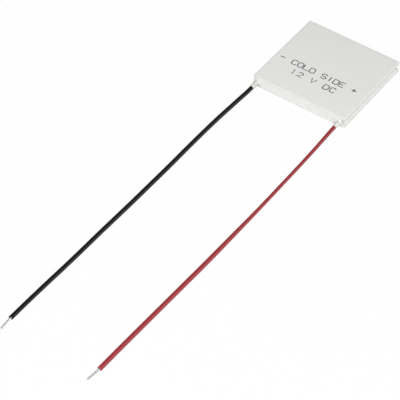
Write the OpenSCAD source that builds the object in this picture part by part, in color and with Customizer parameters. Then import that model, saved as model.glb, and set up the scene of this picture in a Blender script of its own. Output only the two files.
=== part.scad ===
// Thermoelectric cooling module: two ceramic plates with 127 couples of
// semiconductor pellets between them, wired in series by copper tabs.
// Millimetres. Origin at the middle of the underside, +Z up through the
// plates. The two leads leave the front edge, towards -Y.

/* [Plates] */
// Side of each square ceramic plate
plate_side = 40; // [40:0.1:42]
// Thickness of each ceramic plate
plate_t = 1; // [0.6:0.05:1.5]
// Radius of a plate's upright corners
plate_corner_r = 0.2; // [0.1:0.05:0.5]

/* [Pellets] */
// Distance between pellet centres
pitch = 2.4; // [2.3:0.05:2.4]
// Side of a pellet's square section
pellet_side = 1.4; // [1:0.05:1.4]
// Height of a pellet
pellet_h = 1.7; // [1.4:0.1:3]

/* [Copper tabs] */
// Thickness of a tab with its solder coat
tab_t = 0.35; // [0.3:0.05:0.5]
// How far a tab reaches past its pellets all round
tab_margin = 0.1; // [0.05:0.01:0.1]

/* [Seal] */
// How far the silicone sits back from the plates' edges on three sides
seal_recess = 0.2; // [0.1:0.05:0.25]
// Depth of the hollow along the silicone's outer face
meniscus = 0.1; // [0.05:0.05:0.15]
// Gap between the silicone and the outermost tabs
seal_clearance = 0.1; // [0.05:0.05:0.1]
// Radius of the silicone's corners
seal_corner_r = 2.2; // [1.6:0.1:2.2]
// How far the flush front of the silicone stops short of each corner
front_inset = 1; // [0.8:0.1:1.4]

/* [Leads] */
// Outer diameter of a lead's insulation
lead_d = 1.7; // [1.2:0.1:1.8]
// Diameter of the stranded conductor
core_d = 0.8; // [0.6:0.05:0.9]
// How far outside its tab's centre line the black lead is soldered
black_offset = 0.2; // [-0.3:0.1:0.3]
// How far inside its tab's centre line the red lead is soldered
red_offset = 0.4; // [-0.3:0.1:0.4]
// Length of the sealant boot on each lead
boot_l = 3; // [2:0.5:3]
// Radius of a boot's foot, where it spreads on the front edge
boot_foot_r = 1.4; // [1.2:0.1:1.4]
// Length of each lead's stripped and tinned far end
tinned_l = 6; // [4:0.5:12]

/* [Hidden] */
$fn = 48;
grid = 16;
cells = grid * grid;
half = plate_side / 2;
gap = pellet_h + 2 * tab_t;
height = gap + 2 * plate_t;
tab_w = pellet_side + 2 * tab_margin;
field = (grid - 1) * pitch / 2;
seal_inner = field + tab_w / 2 + seal_clearance;
seal_outer = half - seal_recess;
meniscus_r = (gap * gap / 4 + meniscus * meniscus) / (2 * meniscus);
tab_top = plate_t + tab_t;
exit_z = tab_top + core_d / 2;
black_x = -field - black_offset;
red_x = field - red_offset;
boot_wall = 0.05;
boot_r = lead_d / 2 + boot_wall;
boot_fillet = boot_foot_r - boot_r;
boot_end = -half - boot_l;
tail_start = -field + pitch / 2;
front_depth = 4;
front_corner_r = 0.7;
solder_r = 0.75;
solder_z = tab_top + 0.25;
solder_lap = 0.3;
ring_sides = 8;
rings_per_span = 2;

// Routes of the free leads, from the boot to the cut end of the insulation
black_route = [
    [black_x, boot_end, exit_z],
    [-18.35, -27, 1.5], [-18.7, -31, 1.2], [-19, -36, 0.95], [-19.3, -43, 0.85], [-19.4, -51, 0.85],
    [-19.4, -60, 0.85], [-19.3, -69, 0.85], [-19.2, -78, 0.85], [-19.2, -88, 0.85], [-19.2, -98, 0.85],
    [-19.3, -108, 0.85], [-19.4, -118, 0.85], [-19.4, -128, 0.85], [-19.5, -138, 0.85],
    [-19.7, -148, 0.85], [-19.8, -157, 0.85], [-19.8, -165.5, 0.85]
];
red_route = [
    [red_x, boot_end, exit_z],
    [17.6, -27, 1.5], [17.6, -31, 1.2], [17.65, -36, 0.95], [17.75, -43, 0.85], [17.85, -51, 0.85],
    [17.9, -60, 0.85], [17.95, -69, 0.85], [17.95, -78, 0.85], [17.85, -88, 0.85], [17.75, -98, 0.85],
    [17.6, -108, 0.85], [17.35, -118, 0.85], [17.1, -128, 0.85], [16.85, -138, 0.85],
    [16.6, -148, 0.85], [16.4, -157, 0.85], [16.25, -165.5, 0.85]
];

// The current runs up one column and down the next. Step k of its path is at
// column cell(k)[0], row cell(k)[1]; the first and last steps are the front
// corners, which hold a lead in place of a pellet.
function cell(k) =
    let (column = floor(k / grid), step = k % grid)
    [column, column % 2 == 0 ? step : grid - 1 - step];
function place(cell) = [cell[0] * pitch - field, cell[1] * pitch - field];
function is_front_corner(cell) = cell[1] == 0 && (cell[0] == 0 || cell[0] == grid - 1);
function is_p(cell) = (cell[0] + cell[1]) % 2 == 1;

function unit(v) = v / norm(v);
function between(a, b, c, d, t) =
    ((2 * b) + (c - a) * t + (2 * a - 5 * b + 4 * c - d) * t * t + (3 * b - a - 3 * c + d) * t * t * t) / 2;
function above_floor(p) = [p.x, p.y, max(p.z, lead_d / 2)];
function centre_line(route) =
    let (last = len(route) - 1)
    [
        for (i = [0 : last - 1], s = [0 : rings_per_span - 1])
            above_floor(between(route[max(i - 1, 0)], route[i], route[i + 1], route[min(i + 2, last)],
                                s / rings_per_span)),
        above_floor(route[last])
    ];
function heading(line, i) =
    i == 0 ? [0, -1, 0] : unit(line[min(i + 1, len(line) - 1)] - line[i - 1]);
function ring(centre, ahead, r) =
    let (side = unit(cross(ahead, [0, 0, 1])), up = cross(side, ahead))
    [for (n = [0 : ring_sides - 1]) let (a = n * 360 / ring_sides) centre + r * (cos(a) * side + sin(a) * up)];

module rounded_rectangle(size, r) {
    square([size.x, size.y - 2 * r], center = true);
    square([size.x - 2 * r, size.y], center = true);
    for (x = [-1, 1], y = [-1, 1])
        translate([x * (size.x / 2 - r), y * (size.y / 2 - r)]) circle(r);
}

module rod(from, to, d) {
    run = to - from;
    translate(from)
        rotate([0, acos(run.z / norm(run)), atan2(run.y, run.x)])
            cylinder(d = d, h = norm(run));
}

// Turns a shape to start at y and run out along the wire of a lead at x
module along_lead(x, y) {
    translate([x, y, exit_z]) rotate([90, 0, 0]) children();
}

module plate(z) {
    translate([0, 0, z])
        linear_extrude(plate_t) rounded_rectangle([plate_side, plate_side], plate_corner_r);
}

module hot_plate() {
    color("whitesmoke") plate(0);
}

module cold_plate() {
    color("whitesmoke") plate(height - plate_t);
}

// A tab joins the cells at steps k and k + 1 of the path
module tab(k, z) {
    start = place(cell(k));
    end = place(cell(k + 1));
    size = [abs(end.x - start.x) + tab_w, abs(end.y - start.y) + tab_w, tab_t];
    translate([(start.x + end.x) / 2, (start.y + end.y) / 2, z + tab_t / 2]) cube(size, center = true);
}

module hot_tabs() {
    color("peru") for (k = [2 : 2 : cells - 4]) tab(k, plate_t);
}

module cold_tabs() {
    color("peru") for (k = [1 : 2 : cells - 3]) tab(k, height - plate_t - tab_t);
}

module black_end_tab() {
    color("peru") tab(0, plate_t);
}

module red_end_tab() {
    color("peru") tab(cells - 2, plate_t);
}

module pellet(cell) {
    spot = place(cell);
    translate([spot.x, spot.y, tab_top + pellet_h / 2])
        cube([pellet_side, pellet_side, pellet_h], center = true);
}

module pellets(row, p_type) {
    for (column = [0 : grid - 1])
        if (is_p([column, row]) == p_type && !is_front_corner([column, row])) pellet([column, row]);
}

module p_pellets_row(row) {
    color("slategray") pellets(row, true);
}

module n_pellets_row(row) {
    color("darkslategray") pellets(row, false);
}

// Section of the silicone from a corner's centre out to its hollow face
module bead_section() {
    difference() {
        square([seal_corner_r, gap]);
        translate([seal_corner_r + meniscus_r - meniscus, gap / 2]) circle(meniscus_r, $fn = 96);
    }
}

module bead_side() {
    straight = 2 * (seal_outer - seal_corner_r);
    translate([seal_outer - seal_corner_r, straight / 2, 0])
        rotate([90, 0, 0]) linear_extrude(straight) bead_section();
}

module bead_corner() {
    centre = seal_outer - seal_corner_r;
    translate([centre, centre, 0]) rotate_extrude(angle = 90) bead_section();
}

// The silicone is set back on three sides and wiped flush at the front
module edge_seal() {
    color("white")
    difference() {
        translate([0, 0, plate_t]) {
            for (turn = [0 : 90 : 270]) rotate(turn) {
                bead_side();
                bead_corner();
            }
            translate([0, front_depth / 2 - half, 0])
                linear_extrude(gap) rounded_rectangle([plate_side - 2 * front_inset, front_depth], front_corner_r);
        }
        cube([2 * seal_inner, 2 * seal_inner, 3 * height], center = true);
        for (x = [black_x, red_x]) along_lead(x, tail_start) cylinder(d = core_d, h = half);
    }
}

// Silicone drawn out along the stripped wire, with a foot on the front edge
module boot(x) {
    color("gainsboro")
    along_lead(x, -half)
        rotate_extrude() difference() {
            union() {
                square([boot_r, boot_l]);
                difference() {
                    square([boot_foot_r, boot_fillet]);
                    translate([boot_foot_r, boot_fillet]) circle(boot_fillet);
                }
            }
            square([core_d / 2, boot_l]);
        }
}

module black_boot() {
    boot(black_x);
}

module red_boot() {
    boot(red_x);
}

// A pool of solder on an end tab, round the end of the wire
module solder(tab_x, wire_x) {
    front = -field - tab_w / 2 + solder_r;
    back = tail_start - solder_r + solder_lap;
    color("silver")
    difference() {
        intersection() {
            union() {
                rod([tab_x, front, solder_z], [tab_x, back, solder_z], 2 * solder_r);
                for (y = [front, back]) translate([tab_x, y, solder_z]) sphere(solder_r);
            }
            translate([tab_x - tab_w, -half, tab_top]) cube([2 * tab_w, half, pellet_h]);
        }
        along_lead(wire_x, tail_start) cylinder(d = core_d, h = half);
    }
}

module black_solder() {
    solder(-field, black_x);
}

module red_solder() {
    solder(field, red_x);
}

// The stripped inner end of a lead, from its tab out through seal and boot
module tail(x) {
    color("silver") along_lead(x, tail_start) cylinder(d = core_d, h = tail_start - boot_end);
}

module black_tail() {
    tail(black_x);
}

module red_tail() {
    tail(red_x);
}

module tube(route, d) {
    line = centre_line(route);
    last = len(line) - 1;
    polyhedron(
        points = [for (i = [0 : last]) each ring(line[i], heading(line, i), d / 2)],
        faces = [
            [for (n = [0 : ring_sides - 1]) n],
            for (i = [0 : last - 1], n = [0 : ring_sides - 1])
                let (next = (n + 1) % ring_sides, here = i * ring_sides, there = here + ring_sides)
                [here + next, here + n, there + n, there + next],
            [for (n = [ring_sides - 1 : -1 : 0]) last * ring_sides + n]
        ]
    );
}

module black_lead() {
    color("#1c1c1c") tube(black_route, lead_d);
}

module red_lead() {
    color("firebrick") tube(red_route, lead_d);
}

// The bare end runs on in the lead's own direction to a rounded tip
module tinned_end(route) {
    line = centre_line(route);
    last = len(line) - 1;
    ahead = heading(line, last);
    straight = tinned_l - core_d / 2;
    color("silver")
    translate(line[last])
        rotate([0, acos(ahead.z), atan2(ahead.y, ahead.x)])
            rotate_extrude() {
                square([core_d / 2, straight]);
                intersection() {
                    translate([0, straight]) circle(core_d / 2);
                    square([core_d, tinned_l]);
                }
            }
}

module black_tinned_end() {
    tinned_end(black_route);
}

module red_tinned_end() {
    tinned_end(red_route);
}

hot_plate();
cold_plate();
hot_tabs();
cold_tabs();
black_end_tab();
red_end_tab();
for (row = [1 : grid]) {
    p_pellets_row(row - 1);
    n_pellets_row(row - 1);
}
edge_seal();
black_boot();
red_boot();
black_solder();
red_solder();
black_tail();
red_tail();
black_lead();
red_lead();
black_tinned_end();
red_tinned_end();
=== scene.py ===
# Thermoelectric cooling module with two free leads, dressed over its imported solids.
# Shapes are built in millimetres, and each finished mesh is scaled to metres.
import math
import random

import bmesh
import bpy
from mathutils import Matrix, Vector, noise


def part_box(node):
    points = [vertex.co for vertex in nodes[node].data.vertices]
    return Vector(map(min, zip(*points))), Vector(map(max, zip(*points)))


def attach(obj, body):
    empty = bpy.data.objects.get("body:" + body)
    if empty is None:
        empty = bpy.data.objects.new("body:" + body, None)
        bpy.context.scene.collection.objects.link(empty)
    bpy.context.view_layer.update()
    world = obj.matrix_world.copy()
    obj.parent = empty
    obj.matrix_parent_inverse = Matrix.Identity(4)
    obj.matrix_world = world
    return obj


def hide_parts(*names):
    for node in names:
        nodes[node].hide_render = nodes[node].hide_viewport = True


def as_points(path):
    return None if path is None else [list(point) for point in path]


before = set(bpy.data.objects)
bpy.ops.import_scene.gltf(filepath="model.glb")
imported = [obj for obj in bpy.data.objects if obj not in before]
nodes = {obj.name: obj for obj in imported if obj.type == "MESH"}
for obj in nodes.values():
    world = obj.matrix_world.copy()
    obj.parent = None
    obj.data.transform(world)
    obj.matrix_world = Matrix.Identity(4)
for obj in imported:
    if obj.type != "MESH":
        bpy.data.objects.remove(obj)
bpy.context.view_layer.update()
mm = 0.001
upwards = Vector((0, 0, 1))


def boxOf(node):
    low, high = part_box(node)
    return Vector(low) / mm, Vector(high) / mm


print("frame loaded,", len(nodes), "nodes")


# camera: it looks down along the leads from the red one's side

camera = {
    "azimuth": 31.29,
    "elevation": 45.16,
    "roll": 4.17,
    "distance": 660.5,
    "target": (-1.35, -82.46, 0),
    "lens": 169.74,
    "sensor": 36,
    "clip": (0.01, 50),  # metres
}


# the direction that an azimuth and an elevation give, seen from the part
def wayTo(view):
    turn = math.radians(view["azimuth"])
    rise = math.radians(view["elevation"])
    return Vector((math.sin(turn) * math.cos(rise), -math.cos(turn) * math.cos(rise), math.sin(rise)))


def makeCamera(view):
    data = bpy.data.cameras.new("camera")
    data.lens = view["lens"]
    data.sensor_width = view["sensor"]
    data.clip_start, data.clip_end = view["clip"]
    back = wayTo(view)
    across = upwards.cross(back).normalized()
    facing = Matrix((across, back.cross(across), back)).transposed().to_4x4()
    place = (Vector(view["target"]) + back * view["distance"]) * mm
    made = bpy.data.objects.new("camera", data)
    bpy.context.scene.collection.objects.link(made)
    roll = Matrix.Rotation(math.radians(view["roll"]), 4, "Z")
    made.matrix_world = Matrix.Translation(place) @ facing @ roll
    bpy.context.scene.camera = made


makeCamera(camera)
bpy.context.scene.view_settings.view_transform = "Standard"


# finishes: shader maths is written as ordinary arithmetic on Value

class Value:
    def __init__(self, owner, socket):
        self.owner = owner
        self.socket = socket

    def math(self, operation, *terms):
        return self.owner.node("ShaderNodeMath", {"operation": operation}, dict(enumerate(terms)))

    def __add__(self, other):
        return self.math("ADD", self, other)

    def __sub__(self, other):
        return self.math("SUBTRACT", self, other)

    def __rsub__(self, other):
        return self.math("SUBTRACT", other, self)

    def __mul__(self, other):
        return self.math("MULTIPLY", self, other)

    def __truediv__(self, other):
        return self.math("DIVIDE", self, other)

    def __pow__(self, other):
        return self.math("POWER", self, other)

    def __abs__(self):
        return self.math("ABSOLUTE", self)

    def sine(self):
        return self.math("SINE", self)

    __radd__ = __add__
    __rmul__ = __mul__


class NodeMaker:
    def __init__(self, tree):
        self.tree = tree

    def node(self, kind, settings=None, values=None, output=0):
        made = self.tree.nodes.new(kind)
        for name, value in (settings or {}).items():
            if name == "stops":
                for stop, (position, tone) in zip(made.color_ramp.elements, value):
                    stop.position = position
                    stop.color = (tone, tone, tone, 1)
            else:
                setattr(made, name, value)
        for socket, value in (values or {}).items():
            self.plug(made.inputs[socket], value)
        return Value(self, made.outputs[output])

    def plug(self, socket, value):
        if isinstance(value, Value):
            self.tree.links.new(value.socket, socket)
        elif socket.type == "RGBA":
            socket.default_value = (*value, 1)
        else:
            socket.default_value = value


class Finish(NodeMaker):
    def __init__(self, name, **plain):
        self.material = bpy.data.materials.new(name)
        self.material.use_nodes = True
        super().__init__(self.material.node_tree)
        self.surface = self.tree.nodes["Principled BSDF"]
        self.set(**plain)

    def set(self, **sockets):
        for name, value in sockets.items():
            self.plug(self.surface.inputs[name.replace("_", " ")], value)

    # object coordinates in millimetres, or a UV map, stretched by size and turned about Z
    def place(self, size=(1, 1, 1), kind="Object", turn=0):
        there = self.node("ShaderNodeTexCoord", output=kind)
        unit = 1 / mm if kind == "Object" else 1
        values = {"Vector": there, "Scale": [unit * s for s in size], "Rotation": (0, 0, turn)}
        return self.node("ShaderNodeMapping", None, values)

    def axes(self, place):
        return [self.node("ShaderNodeSeparateXYZ", None, {0: place}, i) for i in range(3)]

    def noise(self, place, scale, detail=2.0, roughness=0.5):
        values = {"Vector": place, "Scale": scale, "Detail": detail, "Roughness": roughness}
        return self.node("ShaderNodeTexNoise", None, values)

    def ramp(self, value, low, high):
        return self.node("ShaderNodeValToRGB", {"stops": [(low, 0), (high, 1)]}, {"Fac": value})

    def blend(self, amount, first, second):
        values = {0: amount, 6: first, 7: second}
        return self.node("ShaderNodeMix", {"data_type": "RGBA"}, values, 2)

    # depth is in millimetres, for a height that runs from 0 to 1
    def bump(self, height, depth):
        values = {"Height": height, "Distance": depth * mm}
        self.set(Normal=self.node("ShaderNodeBump", None, values))


# pieces: every mesh is smoothed up to its sharp edges and rides on the one body

def smooth(mesh, sharp):
    mesh.shade_smooth()
    mesh.set_sharp_from_angle(angle=math.radians(sharp))


def addPiece(name, shape, finishes, stands=(), sharp=40):
    bmesh.ops.scale(shape, vec=(mm, mm, mm), verts=shape.verts)
    mesh = bpy.data.meshes.new(name)
    shape.to_mesh(mesh)
    shape.free()
    for finish in finishes:
        mesh.materials.append(finish.material)
    smooth(mesh, sharp)
    piece = bpy.data.objects.new(name, mesh)
    bpy.context.scene.collection.objects.link(piece)
    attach(piece, "root")
    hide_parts(*stands)
    return piece


def linked(name, shape):
    mesh = bpy.data.meshes.new(name)
    shape.to_mesh(mesh)
    shape.free()
    made = bpy.data.objects.new(name, mesh)
    bpy.context.scene.collection.objects.link(made)
    return made


def vertsOf(parts):
    return [part for part in parts if isinstance(part, bmesh.types.BMVert)]


# the mesh that an object's modifiers leave, with the object itself cleared away
def applied(made):
    bpy.context.view_layer.update()
    result = bmesh.new()
    seen = made.evaluated_get(bpy.context.evaluated_depsgraph_get())
    result.from_mesh(seen.to_mesh())
    seen.to_mesh_clear()
    bpy.data.objects.remove(made)
    return result


# smooth noise from -1 to 1 whose bumps are about size across
def wander(point, size, seed=0):
    return noise.noise(Vector(point) / size + Vector((seed, seed * 1.7, -seed)))


# leads: PVC over a tinned strand, from the sealant boot to the bare end

leads = {
    "diameter": 1.7,
    "bore": 0.86,
    "hollow": 1.0,  # how deep the cut end is open round the wire
    "sides": 20,
    "steps": 6,  # rings between two points of a route
    "ripple": 0.012,
    "rounding": 0.07,  # of the cut ends' outer edges
    "ragged": (0.05, 0.03),  # how far three and seven teeth stray on a cut
    "nearSlant": 0.25,
    "cutAcross": 0.4,  # how far the UV map runs over a cut face
    "cutEdge": 0.05,  # and over its rounding
}

blackLead = {
    "route": [
        (-18.2, -23, 1.75), (-18.35, -27, 1.5), (-18.7, -31, 1.2), (-19, -36, 0.95),
        (-19.3, -43, 0.85), (-19.4, -51, 0.85), (-19.4, -60, 0.85), (-19.3, -69, 0.85),
        (-19.2, -78, 0.85), (-19.2, -88, 0.85), (-19.2, -98, 0.85), (-19.3, -108, 0.85),
        (-19.4, -118, 0.85), (-19.4, -128, 0.85), (-19.5, -138, 0.85), (-19.7, -148, 0.85),
        (-19.8, -157, 0.85), (-19.8, -165.5, 0.85),
    ],
    "exit": (-0.0182, -0.020, 0.00175),  # metres, as the length is
    "length": 0.143,
    "girth": [(0, 1.0), (60, 1.02), (142, 0.96)],  # how thick it is at a distance
    "slant": 0.42,  # the far cut runs on by this much on its outer flank
    "bare": [(-19.8, -164.6, 0.85), (-19.8, -165.8, 0.85), (-19.74, -167.5, 0.8),
             (-19.6, -169.4, 0.7), (-19.45, -171.3, 0.6)],
    "twist": 1.1,  # radians a millimetre
    "tip": 0.48,  # the length that rounds off
}

redLead = {
    "route": [
        (17.6, -23, 1.75), (17.6, -27, 1.5), (17.6, -31, 1.2), (17.65, -36, 0.95),
        (17.75, -43, 0.85), (17.85, -51, 0.85), (17.9, -60, 0.85), (17.95, -69, 0.85),
        (17.95, -78, 0.85), (17.85, -88, 0.85), (17.75, -98, 0.85), (17.6, -108, 0.85),
        (17.35, -118, 0.85), (17.1, -128, 0.85), (16.85, -138, 0.85), (16.6, -148, 0.85),
        (16.4, -157, 0.85), (16.25, -165.5, 0.85),
    ],
    "exit": (0.0176, -0.020, 0.00175),
    "length": 0.143,
    "girth": [(0, 0.9), (8, 0.83), (18, 0.79), (47, 0.79), (55, 0.83), (66, 0.94), (80, 1.02),
              (142, 1.02)],
    "slant": 0.12,
    "bare": [(16.26, -164.6, 0.85), (16.22, -165.8, 0.85), (16.1, -167.4, 0.8),
             (15.92, -168.7, 0.73), (15.76, -170.1, 0.63), (15.62, -171.3, 0.58)],
    "twist": -0.9,
    "tip": 0.384,
}


# the smooth curve through b and c, at a share t of the way from b to c
def between(a, b, c, d, t):
    return (b * 2 + (c - a) * t + (a * 2 - b * 5 + c * 4 - d) * t * t
            + (b * 3 - a - c * 3 + d) * t * t * t) / 2


def centreLine(route, steps, floor):
    points = [Vector(p) for p in route]
    last = len(points) - 1
    line = []
    for i in range(last):
        around = points[max(i - 1, 0)], points[i], points[i + 1], points[min(i + 2, last)]
        line += [between(*around, step / steps) for step in range(steps)]
    line.append(points[last])
    for point in line:
        point.z = max(point.z, floor)
    return line


# a value between the two listed places that the distance falls between
def stepped(table, distance):
    for (here, low), (there, high) in zip(table, table[1:]):
        if distance <= there:
            return low + (high - low) * max(distance - here, 0) / (there - here)
    return table[-1][1]


def headings(line, first=None):
    last = len(line) - 1
    found = [(line[min(i + 1, last)] - line[max(i - 1, 0)]).normalized() for i in range(last + 1)]
    if first:
        found[0] = Vector(first)
    return found


# sets one loop of vertices round a point of the line; grow gives the radius
# and the run along the line for an angle
def setLoop(loop, centre, ahead, grow):
    side = ahead.cross(upwards).normalized()
    up = side.cross(ahead)
    for i, vert in enumerate(loop):
        angle = 2 * math.pi * i / len(loop)
        radius, along = grow(angle)
        vert.co = centre + (side * math.cos(angle) + up * math.sin(angle)) * radius + ahead * along


def startLoop(shape, sides):
    made = bmesh.ops.create_circle(shape, segments=sides, radius=1)
    return made["verts"]


def edgesOf(shape, loop):
    return [shape.edges.get((loop[i - 1], loop[i])) for i in range(len(loop))]


# pulls the next loop out of the last one, corner for corner
def nextLoop(shape, loop):
    made = bmesh.ops.extrude_edge_only(shape, edges=edgesOf(shape, loop))["geom"]
    fresh = vertsOf(made)
    partner = {}
    for vert in fresh:
        for edge in vert.link_edges:
            other = edge.other_vert(vert)
            if other not in fresh:
                partner[other] = vert
    return [partner[vert] for vert in loop]


def closeLoop(shape, loop):
    bmesh.ops.contextual_create(shape, geom=edgesOf(shape, loop))


# a UV map that runs round the tube and along it, in millimetres
def mapTube(shape, loops, distances, girth):
    layer = shape.loops.layers.uv.new("UVMap")
    sides = len(loops[0])
    where = {}
    for row, loop in enumerate(loops):
        for i, vert in enumerate(loop):
            where[vert] = (row, i)
    for face in shape.faces:
        spots = [where[corner.vert] for corner in face.loops]
        wraps = max(i for row, i in spots) - min(i for row, i in spots) > sides / 2
        for corner, (row, i) in zip(face.loops, spots):
            turned = i + sides if wraps and i < sides / 2 else i
            corner[layer].uv = (turned / sides * girth, distances[row])


def insulation(lead, seed):
    line = centreLine(lead["route"], leads["steps"], leads["diameter"] / 2)
    ways = headings(line, (0, -1, 0))
    outer = leads["diameter"] / 2
    bore = leads["bore"] / 2
    shape = bmesh.new()
    loop = startLoop(shape, leads["sides"])
    loops = []
    distances = []

    # end is -1 at the boot and 1 at the far cut, and says which way a cut faces
    def cut(angle, slant, end):
        coarse, fine = leads["ragged"]
        ragged = coarse * math.sin(3 * angle + seed) + fine * math.sin(7 * angle + 2 * seed)
        lean = 0.4 if end > 0 else 2.2
        return end * (slant / 2 * math.cos(angle + lean) + ragged)

    def put(centre, ahead, radius, slant, end, back, distance):
        nonlocal loop
        if loops:
            loop = nextLoop(shape, loop)
        setLoop(loop, centre, ahead, lambda angle: (radius(angle), cut(angle, slant, end) - end * back))
        loops.append(loop)
        distances.append(distance)

    def body(i, run):
        thick = outer * stepped(lead["girth"], run)

        def radius(angle):
            spot = line[i] + Vector((math.cos(angle), 0, math.sin(angle)))
            return thick - leads["ripple"] * (0.5 + 0.5 * wander(spot, 6, seed))
        return radius

    first, last = line[0], line[-1]
    start, end = ways[0], ways[-1]
    near = outer * lead["girth"][0][1]
    far = outer * lead["girth"][-1][1]
    nearSlant, farSlant = leads["nearSlant"], lead["slant"]
    hollow, rounding = leads["hollow"], leads["rounding"]
    across, edge = leads["cutAcross"], leads["cutEdge"]
    put(first, start, lambda a: bore, 0, -1, hollow, -hollow - across)
    put(first, start, lambda a: bore, nearSlant, -1, 0.02, -across)
    put(first, start, lambda a: near - rounding, nearSlant, -1, 0, -edge)
    put(first, start, lambda a: near, nearSlant, -1, rounding, 0)
    run = 0
    for i in range(1, len(line) - 1):
        run += (line[i] - line[i - 1]).length
        put(line[i], ways[i], body(i, run), 0, 1, 0, run)
    run += (last - line[-2]).length
    put(last, end, lambda a: far, farSlant, 1, rounding, run)
    put(last, end, lambda a: far - rounding, farSlant, 1, 0, run + edge)
    put(last, end, lambda a: bore + 0.03 * math.sin(5 * a), farSlant, 1, 0.03, run + across)
    put(last, end, lambda a: bore, 0, 1, hollow, run + across + hollow)
    closeLoop(shape, loops[0])
    closeLoop(shape, loops[-1])
    mapTube(shape, loops, distances, math.pi * leads["diameter"])
    bmesh.ops.recalc_face_normals(shape, faces=shape.faces)
    return shape, line, run


# the bare end: six strands twisted round a seventh and run over with solder,
# which fills the grooves towards the rounded tip
strands = {
    "count": 6,
    "radius": 0.39,
    "groove": 0.085,
    "sides": 48,
    "steps": 12,
    "dipped": 0.72,  # the solder fills the grooves beyond this share of the length
    "swell": 0.05,
    "bead": (0.86, 0.09, 0.10),  # share of the length, spread and height
    "uneven": 0.02,
    "blunt": 0.004,  # keeps the last ring open
}


def bareEnd(lead, seed):
    line = centreLine(lead["bare"], strands["steps"], 0)
    ways = headings(line)
    shape = bmesh.new()
    loop = startLoop(shape, strands["sides"])
    total = sum((line[i] - line[i - 1]).length for i in range(1, len(line)))
    middle, spread, height = strands["bead"]
    run = 0
    loops = []
    distances = []
    for i, centre in enumerate(line):
        if i:
            run += (centre - line[i - 1]).length
            loop = nextLoop(shape, loop)
        share = run / total
        filled = min(max((share - strands["dipped"]) / (1 - strands["dipped"]), 0), 1)
        bead = height * math.exp(-((share - middle) / spread) ** 2)
        swell = 1 + strands["swell"] * math.sin(9 * share + seed) + bead
        beyond = max((run - total + lead["tip"]) / lead["tip"], 0)
        tip = math.sqrt(max(1 - beyond ** 2, strands["blunt"]))

        def grow(angle):
            lobe = abs(math.sin((angle + run * lead["twist"]) * strands["count"] / 2))
            groove = strands["groove"] * (1 - lobe ** 0.7) * (1 - 0.8 * filled)
            spot = centre + Vector((math.cos(angle), 0, math.sin(angle))) * 0.4
            uneven = strands["uneven"] * wander(spot, 0.5, seed)
            return (strands["radius"] * swell - groove + uneven) * tip, 0

        setLoop(loop, centre, ways[i], grow)
        loops.append(loop)
        distances.append(run)
    closeLoop(shape, loops[0])
    closeLoop(shape, loops[-1])
    mapTube(shape, loops, distances, 2 * math.pi * strands["radius"])
    bmesh.ops.recalc_face_normals(shape, faces=shape.faces)
    return shape


# PVC skin: fine draw lines along the lead, scuffs and a faint orange peel
def pvcFinish(name, colour, worn, roughness, shine):
    made = Finish(name, Specular_IOR_Level=shine)
    lines = made.noise(made.place((2.2, 0.02, 1), "UV"), 3, 3, 0.6)
    peel = made.noise(made.place(), 2.6, 3, 0.6)
    scuffs = made.ramp(made.noise(made.place((1.2, 0.16, 1), "UV"), 1.3, 4, 0.7), 0.62, 0.78)
    made.set(Base_Color=made.blend(scuffs * 0.55 + lines * 0.25, colour, worn))
    made.set(Roughness=roughness + scuffs * 0.14 + lines * 0.08)
    made.bump(lines * 0.6 + peel * 0.4, 0.008)
    return made


# metal with a cloudy grain under patches of dull film
def metalFinish(name, bright, dull, roughness, grain, depth):
    made = Finish(name, Metallic=1.0)
    place = made.place()
    cloud = made.noise(place, grain, 3, 0.6)
    film = made.ramp(made.noise(place, grain * 0.35, 2), 0.35, 0.7)
    made.set(Base_Color=made.blend(film, bright, dull), Roughness=roughness + cloud * 0.16 + film * 0.08)
    made.bump(cloud, depth)
    return made


blackPvc = pvcFinish("blackPvc", (0.0025, 0.0025, 0.003), (0.007, 0.007, 0.0075), 0.2, 0.2)
redPvc = pvcFinish("redPvc", (0.29, 0.024, 0.029), (0.34, 0.036, 0.042), 0.24, 0.27)
tinned = metalFinish("tinnedWire", (0.80, 0.79, 0.77), (0.62, 0.60, 0.57), 0.22, 5, 0.02)


def makeLead(name, lead, pvc, seed):
    shape, line, run = insulation(lead, seed)
    tube = addPiece(name + "Lead", shape, [pvc], [name + "_lead"], 50)
    bare = addPiece(name + "TinnedEnd", bareEnd(lead, seed), [tinned],
                    [name + "_tinned_end"], 60)
    print(name, "lead,", round(run, 1), "mm of insulation")
    return tube, bare, [tuple(p * mm) for p in line]


blackTube, blackBare, blackPath = makeLead("black", blackLead, blackPvc, 1.3)
redTube, redBare, redPath = makeLead("red", redLead, redPvc, 4.1)


# plates: lapped alumina squares, snapped from a larger tile, with nicked rims

plate = {
    "half": 20,
    "cells": 50,
    "corner": 0.2,
    "rim": 0.06,
    "wave": 0.018,  # how far the snapped edges stray
    "band": 0.3,  # how deep that reaches in from an edge
    "nicks": 9,
    "nick": (0.07, 0.18),
    "clear": 1,  # no nick this near a corner
}

alumina = {
    "white": (0.795, 0.795, 0.79),
    # cloud is the darker, greener tone of real clouds and also of the painted shade towards the back of the
    # top
    "cloud": (0.765, 0.772, 0.74),
    "speck": (0.46, 0.45, 0.42),
    "rub": (0.62, 0.62, 0.61),
    "ledge": (0.70, 0.70, 0.68),  # the hot plate's top is darker in a band round its rim, in the recess under the cold plate
}


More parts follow.
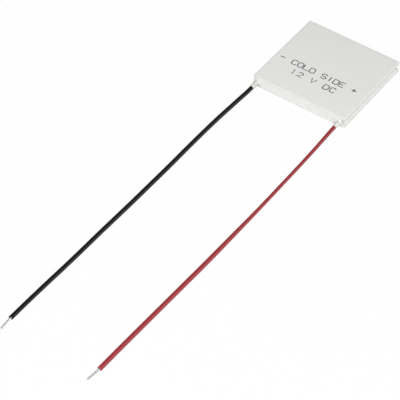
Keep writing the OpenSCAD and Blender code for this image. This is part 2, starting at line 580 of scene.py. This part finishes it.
def aluminaFinish(name, ledge):
    made = Finish(name, Specular_IOR_Level=0.45)
    place = made.place()
    x, y, z = made.axes(place)
    # the noise gives real cloudy tone; the y term paints shade, darker towards the back of the top, for the
    # light's falloff across it
    cloudsAndFalloffShade = made.ramp(made.noise(place, 0.09, 3) * 0.5 + y * 0.008 + 0.25, 0.3, 0.7)
    grain = made.noise(place, 9, 3, 0.6)
    specks = made.ramp(made.noise(place, 2.3, 2, 0.7), 0.735, 0.77)
    rubs = made.ramp(made.noise(made.place((0.5, 0.05, 0.5), turn=0.5), 1.1, 4, 0.6), 0.6, 0.8)
    colour = made.blend(cloudsAndFalloffShade, alumina["white"], alumina["cloud"])
    colour = made.blend(grain * 0.08, colour, alumina["rub"])
    colour = made.blend(rubs * 0.10, colour, alumina["rub"])
    colour = made.blend(specks * 0.5, colour, alumina["speck"])
    if ledge:  # the high power makes the distance from the middle nearly square
        square = 12
        reach = (abs(x) ** square + abs(y) ** square) ** (1 / square) / plate["half"]
        colour = made.blend(made.ramp(reach, 0.90, 0.94) * made.ramp(z, 0.4, 0.6), colour, alumina["ledge"])
    made.set(Base_Color=colour, Roughness=0.5 + grain * 0.16 - rubs * 0.08)
    made.bump(grain, 0.003)
    return made


# a plate's cut edge: laser notches up from its lower face, dark at the very rim with slag and a painted
# contact shadow, then a rough break
edgeMarks = {
    "notch": (0.60, 0.59, 0.56),
    # dark slag colour, which also paints the contact shadow along the lower rim
    "slagAndContactShade": (0.34, 0.33, 0.30),
    # painted shade: the tone of the patches under the boots and in the seal's corner recess
    "shadeTone": (0.47, 0.47, 0.43),
    "pitch": 0.16,  # from one notch to the next
    "scribed": 0.42,  # height of the notches
    "rim": 0.16,  # height of the slag and the painted contact shadow
    "fade": 0.06,
    "depth": 0.008,
}

# front and flank are colours with painted light in them: the hot plate's front is painted lighter for the
# floor's bounce light and its flanks darker, and the cold plate's front is painted darker for the shade at
# the top of the front face;
# the slag strength sets how strong the slag and the painted contact shadow at the lower rim show, and the
# last list gives the middle (x, z) and reach of each patch of painted shade under a boot on the front
hotEdge = {
    "front": (0.97, 0.97, 0.945),
    "flank": (0.74, 0.74, 0.715),
    # patches of painted shade on the front edge, under the two boots
    "paintedShade": [(-17.5, 0.35, 1.5), (18.85, 0.7, 0.75)],
    "slagAndContactShade": 0.75,
}
coldEdge = {"front": (0.73, 0.73, 0.71), "flank": (0.79, 0.79, 0.765), "paintedShade": [], "slagAndContactShade": 0.4}


def edgeFinish(name, edge, face):
    made = Finish(name, Specular_IOR_Level=0.4)
    place = made.place()
    x, y, z = made.axes(place)
    depth = z - face
    broken = made.noise(place, 5, 4, 0.65)
    stained = made.noise(made.place((0.6, 0.6, 2)), 0.6, 3)
    notches = abs(((x + y) * (math.pi / edgeMarks["pitch"])).sine())
    scribed = 1 - made.ramp(depth, edgeMarks["scribed"], edgeMarks["scribed"] + edgeMarks["fade"])
    ragged = depth + (broken - 0.5) * 0.08
    slagAndContactShade = 1 - made.ramp(ragged, edgeMarks["rim"], edgeMarks["rim"] + edgeMarks["fade"])
    flank = made.ramp(abs(x) / plate["half"], 0.985, 0.998)
    front = made.ramp(0 - y / plate["half"], 0.97, 0.99) if edge["paintedShade"] else None
    # painted light: the front and the flank get different tones for how light falls on each side
    colour = made.blend(flank, edge["front"], edge["flank"])
    colour = made.blend(stained * 0.12, colour, edgeMarks["notch"])
    colour = made.blend(scribed * (1 - notches) * 0.25, colour, edgeMarks["notch"])
    # painted shade: dark patches on the hot plate's front edge under the boots, where the shade beneath
    # them falls
    for middle, height, reach in edge["paintedShade"]:
        far = (((x - middle) ** 2 + ((z - height) * 1.6) ** 2) ** 0.5) / reach
        patch = 1 - made.ramp(far + (broken - 0.5) * 0.5, 0.35, 0.95)
        colour = made.blend(patch * front, colour, edgeMarks["shadeTone"])
    # painted shadow: the dark band at each plate's lower rim is laser slag and also the contact shadow
    # along the floor and the seal; the flank mask keeps it mostly on the front
    colour = made.blend(slagAndContactShade * (1 - flank * 0.7) * edge["slagAndContactShade"], colour, edgeMarks["slagAndContactShade"])
    made.set(Base_Color=colour, Roughness=0.62 + broken * 0.2)
    made.bump(scribed * notches * 0.6 + (1 - scribed) * broken, edgeMarks["depth"])
    return made


def nickPlate(shape, low, high, seed):
    draw = random.Random(seed)
    cutters = bmesh.new()
    for n in range(plate["nicks"]):
        size = draw.uniform(*plate["nick"])
        along = draw.uniform(low.x + plate["clear"], high.x - plate["clear"])
        edge = draw.choice([low.y, high.y])
        spot = Vector((along, edge, draw.choice([low.z, high.z])))
        if draw.random() < 0.5:
            spot.x, spot.y = spot.y, spot.x
        made = bmesh.ops.create_icosphere(cutters, subdivisions=1, radius=size)["verts"]
        stretch = Vector((draw.uniform(0.8, 1.8), draw.uniform(0.8, 1.8), draw.uniform(0.35, 0.7)))
        for vert in made:
            vert.co = vert.co * stretch * (1 + 0.35 * wander(vert.co, size, n)) + spot
    cutter = linked("nickCutter", cutters)
    cut = linked("nickedPlate", shape)
    modifier = cut.modifiers.new("nicks", "BOOLEAN")
    modifier.object = cutter
    modifier.operation = "DIFFERENCE"
    modifier.solver = "EXACT"
    result = applied(cut)
    bpy.data.objects.remove(cutter)
    return result


def rimsOf(shape):
    return [e for e in shape.edges if e.is_manifold and e.calc_face_angle() > 1]


def makePlate(name, node, finishes, seed):
    low, high = boxOf(node)
    size = high - low
    shape = bmesh.new()
    cells = plate["cells"]
    bmesh.ops.create_grid(shape, x_segments=cells, y_segments=cells, size=size.x / 2)
    bmesh.ops.translate(shape, vec=(0, 0, low.z), verts=shape.verts)
    raised = bmesh.ops.extrude_face_region(shape, geom=shape.faces[:])["geom"]
    bmesh.ops.translate(shape, vec=(0, 0, size.z), verts=vertsOf(raised))
    bmesh.ops.recalc_face_normals(shape, faces=shape.faces)
    upright = [e for e in rimsOf(shape) if abs(e.verts[0].co.z - e.verts[1].co.z) > size.z / 2]
    bmesh.ops.bevel(shape, geom=upright, offset=plate["corner"], offset_type="OFFSET", affect="EDGES",
                    segments=4, profile=0.5, material=-1)
    bmesh.ops.bevel(shape, geom=rimsOf(shape), offset=plate["rim"], offset_type="OFFSET", affect="EDGES",
                    segments=2, profile=0.5, material=-1)
    for vert in shape.verts:
        reach = max(abs(vert.co.x), abs(vert.co.y))
        if reach > size.x / 2 - plate["band"]:
            stray = plate["wave"] * (wander(vert.co, 2.5, seed) - 0.5)
            vert.co.x *= 1 + stray / reach
            vert.co.y *= 1 + stray / reach
    shape = nickPlate(shape, low, high, seed)
    bmesh.ops.dissolve_degenerate(shape, edges=shape.edges, dist=0.001)
    shape.normal_update()
    for face in shape.faces:
        face.material_index = 0 if abs(face.normal.z) > 0.9 else 1
    return addPiece(name, shape, finishes, [node], 30)


hotLow, hotHigh = boxOf("hot_plate")
coldLow, coldHigh = boxOf("cold_plate")
makePlate("hotPlate", "hot_plate",
          [aluminaFinish("hotAlumina", True), edgeFinish("hotPlateEdge", hotEdge, hotLow.z)], 3)
makePlate("coldPlate", "cold_plate",
          [aluminaFinish("coldAlumina", False), edgeFinish("coldPlateEdge", coldEdge, coldLow.z)], 8)
print("plates made")


# edge seal: white silicone wiped flush along the front, hollow on three sides

seal = {
    "reach": 19.8,
    "corner": 2.2,
    "stations": 420,
    "hollow": 0.1,
    "flushTo": 18.7,  # the front is flush as far as this to each side
    "fade": 0.5,
    "proud": 0.035,
    "thin": 0.02,  # the smear lies this much lower than the bead
    "smear": (0.25, 0.8),  # how far it spreads over a plate's edge
    "recess": 0.2,
    "wall": 0.7,
    "lumps": 0.04,
    "dust": (0.60, 0.59, 0.57),
    # painted shade in the seal's recess at the front right corner
    "paintedShade": ((19.3, -19.7), 1.35),
}


# the under colour is painted shade on what faces down, and the last argument gives the middle (x, y) and
# reach of a patch of painted shade in a corner recess
def siliconeFinish(name, white, thin, undersideShade=None, paintedShade=None):
    made = Finish(name, Specular_IOR_Level=0.5)
    place = made.place()
    streak = made.noise(made.place((0.25, 0.9, 1.6)), 1.2, 4, 0.6)
    dust = made.ramp(made.noise(place, 5, 3, 0.7), 0.68, 0.76)
    colour = made.blend(made.ramp(streak, 0.35, 0.7), white, thin)
    colour = made.blend(dust * 0.25, colour, seal["dust"])
    # painted shade: the sleeves turn darker where their surface faces down
    if undersideShade:
        normal = made.node("ShaderNodeNewGeometry", output=1)
        tilt = made.axes(normal)[2] * 0.5 + 0.5
        low = 1 - made.ramp(tilt + (streak - 0.5) * 0.2, 0.3, 0.62)
        colour = made.blend(low * 0.85, colour, undersideShade)
    # painted shade: a darker patch in the seal's corner recess, where shade falls
    if paintedShade:
        x, y, z = made.axes(place)
        (right, front), reach = paintedShade
        far = (((x - right) ** 2 + (y - front) ** 2) ** 0.5) / reach
        patch = 1 - made.ramp(far + (streak - 0.5) * 0.3, 0.5, 1)
        colour = made.blend(patch * 0.85, colour, edgeMarks["shadeTone"])
    made.set(Base_Color=colour, Roughness=0.36 + streak * 0.22)
    made.bump(streak, 0.015)
    return made


silicone = siliconeFinish("silicone", (0.80, 0.80, 0.785), (0.745, 0.75, 0.725), paintedShade=seal["paintedShade"])
sleeveSkin = siliconeFinish("sleeveSkin", (0.71, 0.71, 0.695), (0.64, 0.64, 0.62),
                            # the darker second colour is painted shade for the sleeves' undersides
                            undersideShade=(0.44, 0.44, 0.41))


# the point and outward direction at a share of the way round a rounded square
def roundSquare(reach, corner, share):
    straight = 2 * (reach - corner)
    arc = math.pi * corner / 2
    quarter = straight + arc
    along = share * 4 * quarter
    side = int(along // quarter) % 4
    along -= side * quarter
    if along < straight:
        point = Vector((along - straight / 2, -reach, 0))
        out = Vector((0, -1, 0))
    else:
        angle = (along - straight) / corner
        out = Vector((math.sin(angle), -math.cos(angle), 0))
        point = Vector((straight / 2, -straight / 2, 0)) + out * corner
    turn = Matrix.Rotation(side * math.pi / 2, 3, "Z")
    return turn @ point, turn @ out


def easing(value):
    value = min(max(value, 0), 1)
    return value * value * (3 - 2 * value)


# how much of the flush front there is at this point, from 0 to 1
def frontShare(point):
    if point.y > 0:
        return 0
    return easing((seal["flushTo"] + seal["fade"] / 2 - abs(point.x)) / seal["fade"])


# height runs from 0 at the hot plate to 1 at the cold one, and level says
# whether this loop lies on the outer face, the smear or the inner wall
def sealLoop(loop, height, level):
    for i, vert in enumerate(loop):
        point, out = roundSquare(seal["reach"], seal["corner"], i / len(loop))
        share = frontShare(point)
        bottom, top = hotHigh.z, coldLow.z
        middle = (bottom + top) / 2
        low, high = seal["smear"]
        spread = low + (high - low) * (0.5 + 0.5 * wander((point.x, 0, height), 2.6, 5))
        z = bottom + (top - bottom) * height
        lift = 0
        if level == "film":
            z += (spread if height > 0.5 else -spread) * share
            lift = -seal["thin"]
        across = abs(z - middle) / ((top - bottom) / 2)
        hollow = -seal["hollow"] * (1 - min(across, 1) ** 2)
        lumps = seal["lumps"] * wander((point.x, point.y, z * 1.5), 1.4, 2)
        proud = seal["recess"] + seal["proud"] + lift + 0.6 * lumps
        reach = (hollow + lumps) * (1 - share) + proud * share
        if level == "wall":  # thinner towards the corners
            reach = -seal["wall"] * (0.4 + 0.6 * abs(math.cos(2 * math.atan2(point.y, point.x))))
        vert.co = point + out * reach
        vert.co.z = z


def makeSeal():
    shape = bmesh.new()
    first = startLoop(shape, seal["stations"])
    levels = [(0, "wall"), (0, "film"), (0, "face"), (0.12, "face"), (0.27, "face"), (0.42, "face"),
              (0.58, "face"), (0.73, "face"), (0.88, "face"), (1, "face"), (1, "film"), (1, "wall")]
    loop = first
    for number, (height, level) in enumerate(levels):
        if number:
            loop = nextLoop(shape, loop)
        sealLoop(loop, height, level)
    bmesh.ops.bridge_loops(shape, edges=edgesOf(shape, first) + edgesOf(shape, loop))
    bmesh.ops.remove_doubles(shape, verts=shape.verts, dist=0.001)
    bmesh.ops.recalc_face_normals(shape, faces=shape.faces)
    return addPiece("edgeSeal", shape, [silicone], ["edge_seal"], 50)


makeSeal()
print("edge seal made")


# boots: silicone drawn out along the wire; each is a few lumps run together

boots = {
    "sides": 32,
    "rings": 20,
    "skin": 0.1,
    "smoothing": 6,
    "uneven": 0.035,
    "lowest": 0.02,
}

# lumps are (centre, radii) pairs, rods (start, end, radius at start, at end)
blackBoot = {
    "rods": [((-18.2, -19.9, 1.75), (-18.25, -23.85, 1.72), 0.93, 0.96)],
    "lumps": [((-18.35, -20.05, 1.8), (1.12, 0.6, 1.05)), ((-17.5, -20.0, 1.6), (0.95, 0.35, 0.8)),
              ((-19.05, -19.5, 2.15), (0.8, 0.62, 1.2))],
}
redBoot = {
    "rods": [((17.6, -19.9, 1.75), (17.6, -23.4, 1.74), 0.93, 0.86)],
    "lumps": [((17.65, -20.0, 1.8), (0.98, 0.45, 0.98)), ((18.1, -20.05, 1.5), (0.85, 0.5, 0.85))],
}


def makeBoot(name, boot, node, seed):
    shape = bmesh.new()
    for start, end, wide, narrow in boot["rods"]:
        start, end = Vector(start), Vector(end)
        run = end - start
        facing = run.to_track_quat("Z", "Y").to_matrix().to_4x4()
        place = Matrix.Translation((start + end) / 2) @ facing
        bmesh.ops.create_cone(shape, cap_ends=True, segments=boots["sides"], radius1=wide,
                              radius2=narrow, depth=run.length, matrix=place)
    for centre, radii in boot["lumps"]:
        place = Matrix.Translation(centre) @ Matrix.Diagonal((*radii, 1))
        bmesh.ops.create_uvsphere(shape, u_segments=boots["sides"], v_segments=boots["rings"],
                                  radius=1, matrix=place)
    rough = linked(name + "Rough", shape)
    modifier = rough.modifiers.new("skin", "REMESH")
    modifier.mode = "VOXEL"
    modifier.voxel_size = boots["skin"]
    shape = applied(rough)
    for n in range(boots["smoothing"]):
        bmesh.ops.smooth_vert(shape, verts=shape.verts, factor=0.5, use_axis_x=True, use_axis_y=True,
                              use_axis_z=True)
    shape.normal_update()
    for vert in shape.verts:
        vert.co += vert.normal * boots["uneven"] * wander(vert.co, 0.9, seed)
        vert.co.z = max(vert.co.z, boots["lowest"])
    return addPiece(name, shape, [sleeveSkin], [node], 80)


blackSleeve = makeBoot("blackBoot", blackBoot, "black_boot", 3)
redSleeve = makeBoot("redBoot", redBoot, "red_boot", 7)
print("boots made")


# inside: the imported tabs, pellets, solder and wire tails keep their shapes

def dress(picks, finish):
    for name in nodes:
        if picks(name):
            for slot in nodes[name].material_slots:
                slot.material = finish.material


# bismuth telluride, which cleaves in bright layers along the pellet
def pelletFinish(name, dark, light):
    made = Finish(name, Metallic=0.85)
    cleaved = made.noise(made.place((4, 4, 0.5)), 1.4, 4, 0.6)
    made.set(Base_Color=made.blend(cleaved, dark, light), Roughness=0.3 + cleaved * 0.25)
    made.bump(cleaved, 0.02)
    return made


copper = metalFinish("copper", (0.86, 0.52, 0.38), (0.62, 0.36, 0.25), 0.3, 2, 0.01)
solder = metalFinish("solder", (0.70, 0.69, 0.67), (0.50, 0.49, 0.47), 0.32, 3, 0.02)
pPellet = pelletFinish("pPellet", (0.25, 0.25, 0.27), (0.42, 0.42, 0.43))
nPellet = pelletFinish("nPellet", (0.17, 0.18, 0.21), (0.34, 0.35, 0.38))
dress(lambda name: name.endswith(("tab", "tabs")), copper)
dress(lambda name: name.endswith("solder"), solder)
dress(lambda name: name.endswith("tail"), tinned)
dress(lambda name: name.startswith("p_pellets"), pPellet)
dress(lambda name: name.startswith("n_pellets"), nPellet)
print("inner nodes dressed")


# face mark: plain words and polarity signs, drawn in single strokes of ink

mark = {
    "lines": [("- COLD SIDE +", (-1.2, -4.5), 2.6), ("12 V DC", (-0.6, -9.2), 2.85)],
    "letter": (2.05, 2.6),  # width and height
    "wobble": 0.05,
    "stroke": 0.21,
    "film": 0.012,
    "ink": (0.035, 0.036, 0.04),
    "faded": (0.11, 0.11, 0.115),
}

# strokes on a grid 4 wide and 6 high
strokeGrid = (4, 6)
strokes = {
    "C": [[(4, 5), (3, 6), (1, 6), (0, 5), (0, 1), (1, 0), (3, 0), (4, 1)]],
    "O": [[(1, 0), (0, 1), (0, 5), (1, 6), (3, 6), (4, 5), (4, 1), (3, 0), (1, 0)]],
    "L": [[(0, 6), (0, 0), (4, 0)]],
    "D": [[(0, 0), (0, 6), (3, 6), (4, 5), (4, 1), (3, 0), (0, 0)]],
    "S": [[(4, 5), (3, 6), (1, 6), (0, 5), (0, 4), (1, 3), (3, 3), (4, 2), (4, 1), (3, 0), (1, 0), (0, 1)]],
    "I": [[(2, 0), (2, 6)]],
    "E": [[(4, 6), (0, 6), (0, 0), (4, 0)], [(0, 3), (3, 3)]],
    "V": [[(0, 6), (2, 0), (4, 6)]],
    "1": [[(1, 5), (2, 6), (2, 0)]],
    "2": [[(0, 5), (1, 6), (3, 6), (4, 5), (4, 4), (0, 0), (4, 0)]],
    "+": [[(2, 1), (2, 5)], [(0, 3), (4, 3)]],
    "-": [[(0, 3), (4, 3)]],
}


def inkFinish():
    made = Finish("ink", Specular_IOR_Level=0.3)
    worn = made.ramp(made.noise(made.place(), 3.5, 3, 0.7), 0.35, 0.75)
    made.set(Base_Color=made.blend(worn, mark["ink"], mark["faded"]), Roughness=0.6 + worn * 0.2)
    return made


def makeMark():
    curve = bpy.data.curves.new("faceMark", "CURVE")
    curve.dimensions = "3D"
    curve.bevel_depth = mark["stroke"]
    curve.bevel_resolution = 1
    curve.use_fill_caps = True
    width, height = mark["letter"]
    wide, high = strokeGrid
    draw = random.Random(5)
    for words, (x, y), pitch in mark["lines"]:
        for number, letter in enumerate(words):
            left = x + (number - (len(words) - 1) / 2) * pitch - width / 2
            base = y - height / 2 + draw.uniform(-mark["wobble"], mark["wobble"])
            for stroke in strokes.get(letter, []):
                spline = curve.splines.new("POLY")
                spline.points.add(len(stroke) - 1)
                for point, (u, v) in zip(spline.points, stroke):
                    point.co = (left + u * width / wide, base + v * height / high, 0, 1)
    drawn = bpy.data.objects.new("faceMarkCurve", curve)
    bpy.context.scene.collection.objects.link(drawn)
    shape = applied(drawn)
    bmesh.ops.scale(shape, vec=(1, 1, mark["film"] / mark["stroke"]), verts=shape.verts)
    bmesh.ops.translate(shape, vec=(0, 0, coldHigh.z), verts=shape.verts)
    return addPiece("faceMark", shape, [inkFinish()])


makeMark()
print("face mark made")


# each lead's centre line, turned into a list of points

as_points(blackPath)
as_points(redPath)


# stage and light

stage = {
    "floor": 6.0,
    "gap": 0.00002,  # the floor lies this far under the part
    "white": 0.95,  # how much of the seen floor is plain white
    "glow": 1.02,
    "paper": (0.50, 0.50, 0.50),  # the floor as it lights the part
    "sky": 0.42,
    "aim": (0, -0.04, 0),  # the lamps point here
}

lights = {
    "key": {"azimuth": 25, "elevation": 35, "distance": 0.85, "size": 0.4, "power": 6.4},
    "side": {"azimuth": 122, "elevation": 22, "distance": 1.2, "size": 0.7, "power": 3.8},
}


def makeFloor():
    shape = bmesh.new()
    bmesh.ops.create_grid(shape, x_segments=1, y_segments=1, size=stage["floor"])
    floor = linked("floor", shape)
    made = Finish("paper", Base_Color=stage["paper"], Roughness=0.9, Specular_IOR_Level=0.0)
    seen = [made.node("ShaderNodeLightPath", output=name)
            for name in ("Is Camera Ray", "Is Glossy Ray", "Is Transmission Ray")]
    share = (seen[0] + seen[1] + seen[2]) * stage["white"]
    paper = Value(made, made.surface.outputs[0])
    glow = made.node("ShaderNodeEmission", None, {"Color": (1, 1, 1), "Strength": stage["glow"]})
    mixed = made.node("ShaderNodeMixShader", None, {0: share, 1: paper, 2: glow})
    made.plug(made.tree.nodes["Material Output"].inputs["Surface"], mixed)
    floor.data.materials.append(made.material)
    floor.location.z = -stage["gap"]


def makeSky():
    world = bpy.data.worlds.new("sky")
    bpy.context.scene.world = world
    world.use_nodes = True
    made = NodeMaker(world.node_tree)
    seen = made.node("ShaderNodeLightPath", output="Is Camera Ray")
    level = made.node("ShaderNodeMapRange", None, {"Value": seen, "To Min": stage["sky"], "To Max": 1})
    backdrop = world.node_tree.nodes["Background"].inputs
    made.plug(backdrop["Color"], (1, 1, 1))
    made.plug(backdrop["Strength"], level)


def makeLight(name, light):
    data = bpy.data.lights.new(name, "AREA")
    data.shape = "DISK"
    data.size = light["size"]
    data.energy = light["power"]
    made = bpy.data.objects.new(name, data)
    bpy.context.scene.collection.objects.link(made)
    way = wayTo(light)
    facing = way.to_track_quat("Z", "Y").to_matrix().to_4x4()
    made.matrix_world = Matrix.Translation(way * light["distance"] + Vector(stage["aim"])) @ facing


makeFloor()
makeSky()
for name, light in lights.items():
    makeLight(name, light)
print("stage and lights made")

bpy.context.view_layer.update()
